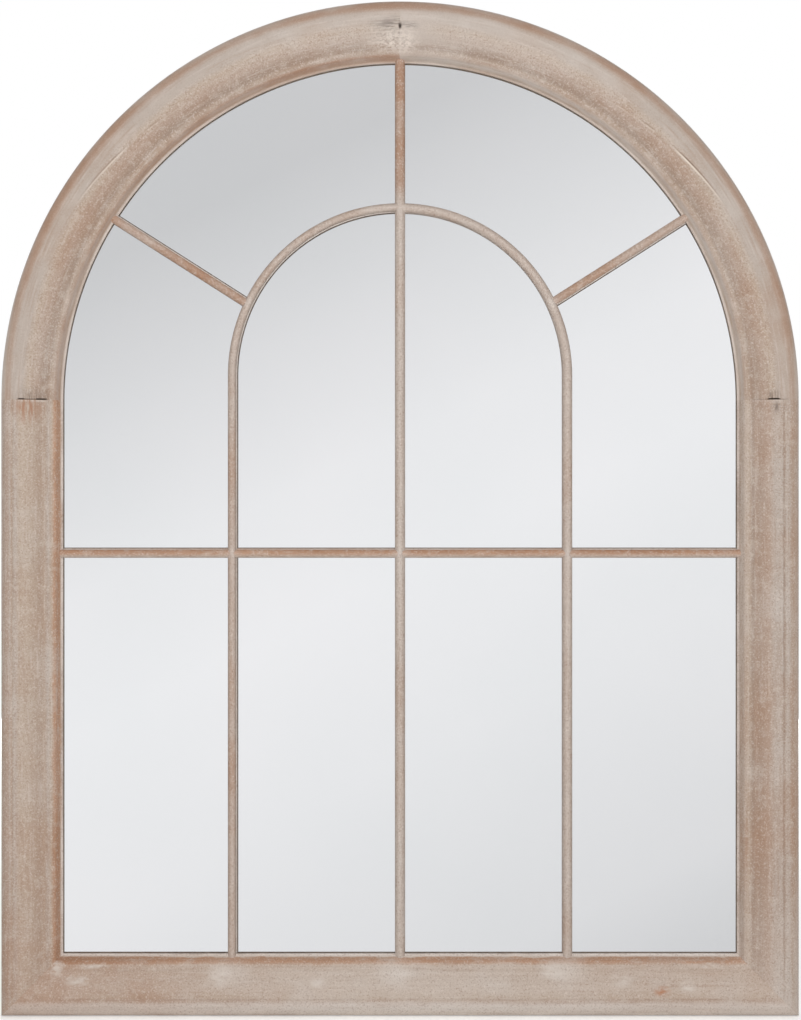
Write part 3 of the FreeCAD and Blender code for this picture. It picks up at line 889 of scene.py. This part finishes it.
def lime_wash(name, bands, marks=()):
    """Matt wash over wood. Bands run across the section; marks are stains, painted shadows and painted
    highlights at a place of the run.
    """
    material, tree, shader = new_material(name)
    touch = node(tree, "Attribute", attribute_name="touch")
    guides = {
        "run": node(tree, "Attribute", attribute_name="run").outputs["Vector"],
        "place": node(tree, "TexCoord").outputs["Object"],
    }

    # All noises, at their real sizes.
    patterns = [("place", (wander_size, wander_size), 3)] + [layer[:3] for layer in clouds + grains]
    patterns += [("run", fibres, 3) for spot, fibres, code, amount in marks]
    noises = []
    for guide, (long, wide), detail in patterns:
        scale = [1 / (size * MM) for size in (long, wide, wide)]
        spread = node(tree, "VectorMath", {0: guides[guide], 1: scale}, operation="MULTIPLY").outputs[0]
        pattern = {"Vector": spread, "Scale": 1.0, "Detail": detail}
        noises.append(node(tree, "TexNoise", pattern).outputs["Fac"])
    wander, *noises = noises

    # The bands wander a little to and fro across the section.
    inset = node(tree, "SeparateXYZ", {0: guides["run"]}).outputs["Y"]
    shifted = node(tree, "Math", {0: wander, 1: wander_reach, 2: inset}, operation="MULTIPLY_ADD").outputs[0]
    level = node(tree, "Math", {0: shifted, 1: wander_reach / 2}, operation="SUBTRACT").outputs[0]
    low, high = bands[0][0], bands[-1][0]
    share = node(tree, "MapRange", {0: level, 1: low * MM, 2: high * MM}).outputs[0]
    stops = [((at - low) / (high - low), code) for at, code in bands]
    tone = node(tree, "ValToRGB", {0: share}, stops=stops).outputs["Color"]

    # Blotches and streaks, wear and thick wash in patches, sand, marks and painted shade, in this order.
    # Wear and thick wash also carry painted light, and some marks are painted shadows and highlights.
    covers = [
        node(tree, "MapRange", {0: noise, 1: start, 2: full, 3: 0.0, 4: amount}).outputs[0]
        for noise, (guide, size, detail, start, full, code, amount) in zip(noises, clouds + grains)
    ]
    amounts = node(tree, "SeparateXYZ", {0: touch.outputs["Vector"]}).outputs
    sandy = touch.outputs["Alpha"]
    patchy = node(tree, "MapRange", {0: noises[0], 1: 0.3, 2: 0.6, 3: 0.35, 4: 1.0}).outputs[0]
    layers = [(cover, None, cloud[5]) for cover, cloud in zip(covers, clouds)]
    layers += [(amounts["X"], patchy, WORN), (amounts["Y"], patchy, THICK)]
    layers += [(cover, sandy, grain[5]) for cover, grain in zip(covers[len(clouds):], grains)]
    for (spot, fibres, code, amount), noise in zip(marks, noises[len(covers):]):
        along, across, long, wide, tilt = spot
        oval = {"Location": (along * MM, across * MM, 0), "Scale": (long * MM, wide * MM, 1)}
        oval.update({"Vector": guides["run"], "Rotation": (0, 0, tilt)})
        local = node(tree, "Mapping", oval, vector_type="TEXTURE").outputs[0]
        flat = node(tree, "VectorMath", {0: local, 1: (1, 1, 0)}, operation="MULTIPLY").outputs[0]
        reach = node(tree, "VectorMath", {0: flat}, operation="LENGTH").outputs["Value"]
        inside = node(tree, "MapRange", {0: reach, 1: 1.0, 2: 0.2, 3: 0.0, 4: amount}).outputs[0]
        broken = node(tree, "MapRange", {0: noise, 1: 0.35, 2: 0.6}).outputs[0]
        layers.append((inside, broken, code))
    layers.append((amounts["Z"], None, PAINTED_SHADE))
    for cover, weight, code in layers:
        if weight is not None:
            cover = node(tree, "Math", {0: cover, 1: weight}, operation="MULTIPLY").outputs[0]
        tone = node(tree, "Mix", {0: cover, 6: tone, 7: linear(code)}, data_type="RGBA").outputs[2]

    # A dry wash scatters light evenly: it has no gloss, only a sandy skin that catches light from the side.
    fine, finest = noises[len(covers) - 2:len(covers)]
    skin = node(tree, "Math", {0: finest, 1: fine}, operation="ADD").outputs[0]
    relief = node(tree, "Bump", {"Strength": 0.35, "Distance": 0.25 * MM, "Height": skin}).outputs[0]
    tree.links.new(tone, shader.inputs["Base Color"])
    tree.links.new(relief, shader.inputs["Normal"])
    shader.inputs["Roughness"].default_value = 0.8
    shader.inputs["Specular IOR Level"].default_value = 0.25
    return material


print("wash of", len(clouds), "clouds and", len(grains), "grains")

# %% [markdown]
# ## Bands across the section
# The wash was wiped back across the moulding, so it is thick on the crown and on the lower edge, and thin
# in the valley and beside the glass, where the last, darkest stop is painted shade on the lip. Darker stops
# at the creases of the stiles and the rail are painted shade in the grooves. Each length has its own bands
# from the outer edge to the glass: an inset in millimetres and a colour. The colours are few and shared, as
# from one pot of wash and one stain.

# %% Bands
MILK, LIME, CHALK, LINEN, ASH, SAND = "#F2EAE2", "#DCD0C5", "#C4B8AF", "#BEAEA1", "#B4A79D", "#B7A697"
ROSE, TAN, UMBER, GLASS_EDGE_SHADE, OCHRE = "#B19D8F", "#AE9B8C", "#9E8B7D", "#8B7769", "#BA947B"
# On the arches the pale first stops at the outer edge are partly a painted highlight, and the last stop at
# the glass is painted shade.
arch_bands = [
    (0, LIME), (2, CHALK), (4, LINEN), (6, ROSE), (8, ROSE), (11, ASH), (20, ASH), (25, SAND), (33, ROSE),
    (38, UMBER), (42, UMBER), (45, TAN), (47.5, ROSE), (50, CHALK), (51, LINEN), (52, TAN), (54, UMBER),
]
# On the stiles the stops at the creases (11 and 14.8 mm) and the last stops at the glass are painted shade.
stile_bands = {
    "left": [
        (0, CHALK), (3, ROSE), (8, ROSE), (9.5, ASH), (11, TAN), (14, ASH), (18, SAND), (25, SAND), (34, TAN),
        (39, TAN), (42, ASH), (45, SAND), (47.5, OCHRE), (51.7, OCHRE), (53, GLASS_EDGE_SHADE), (54, GLASS_EDGE_SHADE),
    ],
    "right": [
        (0, CHALK), (3, LINEN), (7, TAN), (10, ASH), (13, ASH), (14.8, UMBER), (16.5, ASH), (22, ASH),
        (28, ROSE), (41, UMBER), (45, SAND), (48, LINEN), (51, LINEN), (52, UMBER), (54, GLASS_EDGE_SHADE),
    ],
}
# On the rail the stop at the crease (15.5 mm) and the last stop at the glass are painted shade; the pale
# stops near the lip are partly a painted highlight.
rail_bands = [
    (0, MILK), (3, LIME), (8, CHALK), (12, CHALK), (15.5, ROSE), (18, SAND), (24, LINEN), (45, LINEN),
    (48, OCHRE), (51, OCHRE), (51.8, LIME), (53.3, LINEN), (54, GLASS_EDGE_SHADE),
]
bar_bands = [(-4.5, CHALK), (-3, ASH), (0, CHALK), (3, ASH), (4.5, CHALK)]
worn_bands = [(-4.5, LIME), (-3, TAN), (0, OCHRE), (3, OCHRE), (4.5, TAN)]
print(len(arch_bands), "bands on the arches and", len(rail_bands), "on the rail")

# %% [markdown]
# ## Marks of the brush, and painted shade
# Some stains belong to one place: chalk strokes at the crown, hatching and a brown patch at the spring
# lines and blots of wash on the rail. Some marks are painted light: the grey strokes at the crown are the
# painted shadow of its dent, the hatching over the slits is partly brush marks and partly painted shade of
# a dent, and each lifted ridge has a painted shadow on one side and a painted highlight on its crest. A mark
# is an oval on the run, given by along, inset, half length, half width and tilt. It is broken up by fibres
# of a length and width, all in millimetres, and has a colour and an amount.

# %% Marks
ridge_along = math.radians((ridge_start[0] + ridge_end[0]) / 2) * half_width / MM
ridge_inset = (ridge_start[1] + ridge_end[1]) / 2 / MM
ridge_long = math.radians(ridge_end[0] - ridge_start[0]) * half_width / MM / 2
ridge_tilt = (ridge_end[1] - ridge_start[1]) / MM / (2 * ridge_long)
ridge_wide, ridge_shade, ridge_tail, ridge_fibres = 1.1, 1.3, 1.2, (40, 9)
shaded = (ridge_along, ridge_inset - ridge_shade, ridge_long, ridge_wide, ridge_tilt)
crest_highlight = (ridge_along, ridge_inset, ridge_long * ridge_tail, ridge_wide, ridge_tilt)
# Beside each ridge a painted shadow, and on its crest a painted highlight.
ridge_marks = {
    side: [(shaded, ridge_fibres, "#7E6757", amount), (crest_highlight, ridge_fibres, "#E4D8CC", amount)]
    for side, amount in {"left": 0.6, "right": 1.0}.items()
}
crown_at = arch_length / MM
# At the crown the broad pale stroke and the flakes are chalky wash; the grey strokes are the painted shadow
# of the dent.
crown_marks = {
    "left": [
        ((crown_at, 30, 70, 20, 0), (90, 30), "#BDB0A6", 0.45),
        ((crown_at - 5, 22.5, 28, 9, 0), (12, 1.3), "#8A8079", 0.9),
        ((crown_at - 12, 32, 26, 8, 0), (5, 2), "#8F8178", 0.6),
        ((crown_at - 8, 35, 30, 14, 0), (3, 2), "#DED3C9", 0.8),
    ],
    "right": [
        ((crown_at - 30, 32, 130, 26, 0), (90, 30), "#BDB1A8", 0.8),
        ((crown_at - 8, 23, 13, 4.5, 0), (8, 1.3), "#8F8680", 0.8),
        ((crown_at - 4, 36, 18, 14, 0), (3, 2), "#DED3C9", 0.8),
    ],
}
# Hatching over the slits: partly brush marks, partly painted shade of a dent.
hatch_marks = {
    "left": [((0, 28, 14, 17, 0), (9, 1.0), "#7D6E64", 0.75)],
    "right": [((3, 23.5, 8, 7, 0), (9, 1.5), "#75665E", 1.0)],
}
stile_marks = {
    "left": [((-6, 25, 19, 16, 0), (10, 2), "#A67F68", 1.0)],
    "right": [
        ((-6, 22, 6, 5, 0), (5, 2), "#7A6C63", 0.8),
        ((-225, 27.9, 48, 0.9, 0), (40, 9), "#D8C8BA", 0.9),
    ],
}
rail_blots = [
    (-301, 43, 8, 11), (-282, 32, 14, 5), (-269, 44, 16, 3), (-158, 36, 12, 12), (-72, 30, 9, 7),
    (133, 40, 14, 9), (193, 32, 11, 8), (251, 27, 9, 7), (269, 45, 15, 3),
]
rail_marks = [((*blot, 0), (7, 4), "#D2C8BF", 0.8) for blot in rail_blots]
rail_marks += [((229, 23, 9, 6, 0), (7, 4), "#AE7B5B", 0.9)]
print(len(rail_marks), "marks on the rail")

# %% The washes
finishes = {"bottom_rail": lime_wash("lime wash on the rail", rail_bands, rail_marks)}
for side in SIDES:
    marks = crown_marks[side] + hatch_marks[side] + ridge_marks[side]
    finishes[f"{side}_arch"] = lime_wash(f"lime wash on the {side} arch", arch_bands, marks)
    bands, marks = stile_bands[side], stile_marks[side]
    finishes[f"{side}_stile"] = lime_wash(f"lime wash on the {side} stile", bands, marks)
bar_wash = lime_wash("lime wash on the bars", bar_bands)
finishes["cross_bar"] = lime_wash("worn lime wash on the cross bar", worn_bands)
print(len(finishes) + 1, "kinds of lime wash")

# %% [markdown]
# ## Bare wood at the back
# Nobody washes the back of a frame. There the planed softwood shows, pale yellow with darker year rings
# that run along each length as streaks. A wave texture could draw the rings, but stretched noise looks less
# even, as sawn wood does.

# %% Bare wood
# Planed wood is smooth but not glossy, and its rings stand up by a hair.
bare, tree, shader = new_material("planed softwood")
run = node(tree, "Attribute", attribute_name="run").outputs["Vector"]
ring_scale = [1 / (size * MM) for size in (160, 5, 5)]
spread = node(tree, "VectorMath", {0: run, 1: ring_scale}, operation="MULTIPLY").outputs[0]
ring_noise = {"Vector": spread, "Scale": 1.0, "Detail": 4.0, "Distortion": 0.6}
rings = node(tree, "TexNoise", ring_noise).outputs["Fac"]
stops = [(0.3, "#D8BC92"), (0.5, "#CFAE80"), (0.62, "#B98F60"), (0.75, "#CDAA7C")]
tone = node(tree, "ValToRGB", {0: rings}, stops=stops).outputs["Color"]
relief = node(tree, "Bump", {"Strength": 0.2, "Distance": 0.2 * MM, "Height": rings}).outputs[0]
tree.links.new(tone, shader.inputs["Base Color"])
tree.links.new(relief, shader.inputs["Normal"])
shader.inputs["Roughness"].default_value = 0.7

for name, piece in {**pieces, **bars}.items():
    piece.data.materials.append(finishes.get(name, bar_wash))
    piece.data.materials.append(bare)
    for polygon in piece.data.polygons:
        polygon.material_index = 1 if polygon.normal.y > facing else 0
print("washed faces and bare backs on", len(pieces) + len(bars), "pieces")

# %% [markdown]
# ## Silver, glass, board, zinc and rubber
# The silver film is a metal with almost no roughness, and the clear sheet in front of it is a very
# slightly green glass. The board behind is hardboard, the hangers are zinc-plated steel, the feet are soft
# rubber, and beech dowels and biscuits hold the joints. All of them vary a little from spot to spot, so one
# function gives that, and what is special is added after it.


# %% Other finishes
def mottled(name, spot, detail, stops, values):
    """Finish whose colour varies over spots of a real size, with values for its shader's own sockets."""
    material, tree, shader = new_material(name)
    place = node(tree, "TexCoord").outputs["Object"]
    spots = node(tree, "TexNoise", {"Vector": place, "Scale": 1 / spot, "Detail": detail}).outputs["Fac"]
    tone = node(tree, "ValToRGB", {0: spots}, stops=stops).outputs["Color"]
    tree.links.new(tone, shader.inputs["Base Color"])
    for socket, value in values.items():
        shader.inputs[socket].default_value = value
    return material, tree, shader, place, spots, tone


# Float glass is almost clear: it dims what lies behind it by a trace.
stops = [(0.0, "#FCFDFD"), (1.0, "#FEFEFE")]
clear = {"Transmission Weight": 1, "Roughness": 0, "IOR": 1.52}
glass, *_ = mottled("clear float glass", 167 * MM, 2.0, stops, clear)

# Silver gives back nearly all light, without any blur.
stops = [(0.3, "#F6F7F8"), (0.7, "#F9F9FA")]
silvered, *_ = mottled("silver film", 200 * MM, 2.0, stops, {"Metallic": 1, "Roughness": 0})

# Rubber is dark and dull, with a bloom of dust.
stops = [(0.35, "#1E1D1C"), (0.7, "#34322F")]
rubber, *_ = mottled("black rubber", 2 * MM, 4.0, stops, {"Roughness": 0.75})

# Beech is an even pale brown with small flecks.
stops = [(0.35, "#C79B6B"), (0.7, "#D9B184")]
beech, *_ = mottled("beech", 3 * MM, 4.0, stops, {"Roughness": 0.65})

# Zinc plate is bright with a light bloom, so its gloss changes from spot to spot.
stops = [(0.3, "#B9BCC0"), (0.6, "#CFD1D2"), (0.75, "#C4C0B2")]
zinc, tree, shader, place, bloom, tone = mottled("bright zinc on steel", 4 * MM, 4.0, stops, {"Metallic": 1})
rough = node(tree, "MapRange", {0: bloom, 1: 0.3, 2: 0.7, 3: 0.22, 4: 0.42}).outputs[0]
tree.links.new(rough, shader.inputs["Roughness"])

# Hardboard is pressed fibre: brown, slightly shiny, with darker clouds as broad as a hand.
stops = [(0.3, "#6E4E36"), (0.55, "#80603F"), (0.75, "#94734F")]
board, tree, shader, place, fibres, tone = mottled("hardboard", 3 * MM, 5.0, stops, {"Roughness": 0.55})
cloud = node(tree, "TexNoise", {"Vector": place, "Scale": 1 / (90 * MM), "Detail": 2.0}).outputs["Fac"]
dark = node(tree, "MapRange", {0: cloud, 1: 0.4, 2: 0.7, 3: 0.0, 4: 0.4}).outputs[0]
tone = node(tree, "Mix", {0: dark, 6: tone, 7: linear("#5F442F")}, data_type="RGBA").outputs[2]
relief = node(tree, "Bump", {"Strength": 0.2, "Distance": 0.2 * MM, "Height": fibres}).outputs[0]
tree.links.new(tone, shader.inputs["Base Color"])
tree.links.new(relief, shader.inputs["Normal"])

# %% Finishes on the other pieces
sheet.data.materials.append(glass)
silver.data.materials.append(silvered)
for screws in screw_sets:
    screws.data.materials.append(zinc)

by_name = {"dowels": beech, "biscuit": beech, "panel": board, "hanger": zinc, "bumper": rubber}
for name, cad_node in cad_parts.items():
    if cad_node.hide_render:
        continue
    finish = next(value for word, value in by_name.items() if word in name)
    cad_node.data.materials.clear()
    cad_node.data.materials.append(finish)
    print(name, finish.name)

# %% [markdown]
# ## Studio floor
# The picture is a plain cut-out on white, seen straight on. The floor is white paper just under the frame.
# Under the lamps alone it would look grey, so for camera rays it also glows, more with the distance, and
# keeps the mirror's shadow close by. The mirror doesn't see it.

# %% Floor
floor_size, floor_gap = 12, 0.3 * MM
glow_near, glow_far = (0.7, 0.33), (2.2, 0.6)
bpy.ops.object.select_all(action="DESELECT")
bpy.ops.mesh.primitive_plane_add(size=floor_size, location=(0, 0, bottom - floor_gap))
floor = bpy.context.object
floor.name = "floor"
floor.visible_glossy = False
floor.visible_transmission = False
floor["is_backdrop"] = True
paper, tree, shader = new_material("white paper floor")
seen = node(tree, "LightPath").outputs["Is Camera Ray"]
spot = node(tree, "TexCoord").outputs["Object"]
away = node(tree, "VectorMath", {0: spot}, operation="LENGTH").outputs["Value"]
reach = {1: glow_near[0], 2: glow_far[0], 3: glow_near[1], 4: glow_far[1]}
lift = node(tree, "MapRange", {0: away, **reach}).outputs[0]
glow = node(tree, "Math", {0: seen, 1: lift}, operation="MULTIPLY").outputs[0]
tree.links.new(glow, shader.inputs["Emission Strength"])
shader.inputs["Emission Color"].default_value = (1, 1, 1, 1)
shader.inputs["Base Color"].default_value = linear("#F4F3F1")
shader.inputs["Roughness"].default_value = 1
shader.inputs["Specular IOR Level"].default_value = 0
floor.data.materials.append(paper)
print("floor", floor_size, "m wide")

# %% [markdown]
# ## World
# The white backdrop comes from the world, for camera rays only. The mirror sees a soft grey sweep instead:
# pale across the middle, greyer towards the upper left and the lower right. On the wall's side the world
# is a plain room, brightest at the height of the eye, for the metal at the back. All other rays get an
# even light. A picture of a studio could do the same, but a few ramps need no file.

# %% World
camera_distance = 1.9
# The sweep's direction, and where it starts and ends on the mirror as the camera sees it.
sweep_way, sweep_low, sweep_high = (0.444, 0, -0.896), -310 * MM, 457 * MM
fill_light, mirror_light = 0.45, 1.09
white_light = (1, 1, 1, 1)
greys = [
    (0, "#C9C9CA"), (0.17, "#DBDBDC"), (0.33, "#E8E8E9"), (0.47, "#EBEBEC"), (0.66, "#E6E6E7"),
    (0.9, "#DADADB"), (1, "#CECECF"),
]
room_greys = [(0, "#BDBCBA"), (0.44, "#929294"), (0.5, "#F4F4F5"), (1, "#B5B5B7")]
world = bpy.data.worlds.new("studio")
bpy.context.scene.world = world
world.use_nodes = True
tree = world.node_tree
tree.nodes.clear()
way = node(tree, "TexCoord").outputs["Generated"]
sweep = node(tree, "VectorMath", {0: way, 1: sweep_way}, operation="DOT_PRODUCT").outputs["Value"]
limits = {1: sweep_low / camera_distance, 2: sweep_high / camera_distance}
share = node(tree, "MapRange", {0: sweep, **limits}).outputs[0]
grey = node(tree, "ValToRGB", {0: share}, stops=greys).outputs["Color"]
axes = node(tree, "SeparateXYZ", {0: way}).outputs
climb = node(tree, "MapRange", {0: axes["Z"], 1: -1.0, 2: 1.0}).outputs[0]
room = node(tree, "ValToRGB", {0: climb}, stops=room_greys).outputs["Color"]
behind = node(tree, "MapRange", {0: axes["Y"], 1: -0.2, 2: 0.2}).outputs[0]
grey = node(tree, "Mix", {0: behind, 6: grey, 7: room}, data_type="RGBA").outputs[2]
path = node(tree, "LightPath").outputs
bounced = {0: path["Is Glossy Ray"], 1: path["Is Transmission Ray"]}
mirrored = node(tree, "Math", bounced, operation="MAXIMUM").outputs[0]
soft = node(tree, "Background", {"Color": white_light, "Strength": fill_light}).outputs[0]
white = node(tree, "Background", {"Color": white_light, "Strength": 1.0}).outputs[0]
reflected = node(tree, "Background", {"Color": grey, "Strength": mirror_light}).outputs[0]
lit = node(tree, "MixShader", {0: mirrored, 1: soft, 2: reflected}).outputs[0]
shown = node(tree, "MixShader", {0: path["Is Camera Ray"], 1: lit, 2: white}).outputs[0]
node(tree, "OutputWorld", {0: shown})
print("world with", len(greys), "greys in the mirror")

# %% [markdown]
# ## Lamps and camera
# A broad lamp in front lights the wash softly, and one like it lights the back. Neither shows in the glass.
# The camera looks straight at the middle of the mirror, and its lens follows from its distance and from
# the height that the picture takes in.

# %% Lamps and camera
middle = Vector((0.4 * MM, 0, -196.4 * MM))
lamp_distance, lamp_height, lamp_width, lamp_depth = 2.6, 0.1, 2.4, 1.8
lamps = {"softbox": (-lamp_distance, 48), "rear_softbox": (lamp_distance, 40)}
picture_height = 895.9 * MM
for name, (y, energy) in lamps.items():
    lamp_data = bpy.data.lights.new(name, "AREA")
    lamp_data.shape = "RECTANGLE"
    lamp_data.size, lamp_data.size_y = lamp_width, lamp_depth
    lamp_data.energy = energy
    lamp = bpy.data.objects.new(name, lamp_data)
    bpy.context.scene.collection.objects.link(lamp)
    lamp.location = (0, y, lamp_height)
    lamp.rotation_euler = (middle - lamp.location).to_track_quat("-Z", "Y").to_euler()
    lamp.visible_glossy = False
    lamp.visible_transmission = False

camera_data = bpy.data.cameras.new("camera")
camera = bpy.data.objects.new("camera", camera_data)
bpy.context.scene.collection.objects.link(camera)
edge_y = back - (face_height - round_over)
camera.location = (middle.x, edge_y - camera_distance, middle.z)
camera.rotation_euler = (math.pi / 2, 0, 0)
camera_data.lens = camera_data.sensor_width * camera_distance / picture_height
bpy.context.scene.camera = camera
bpy.context.scene.view_settings.view_transform = "Standard"
print("lens", round(camera_data.lens, 1), "mm at", camera_distance, "m")

# %% [markdown]
# ## Sizes
# The looks must not change the size of the part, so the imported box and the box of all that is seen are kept
# side by side.

# %% Sizes, and the end
final_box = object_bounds()
sizes = {"cad": [list(corner) for corner in cad_box], "visual": [list(corner) for corner in final_box]}
print("visual box", [[round(v / MM, 1) for v in corner] for corner in final_box])
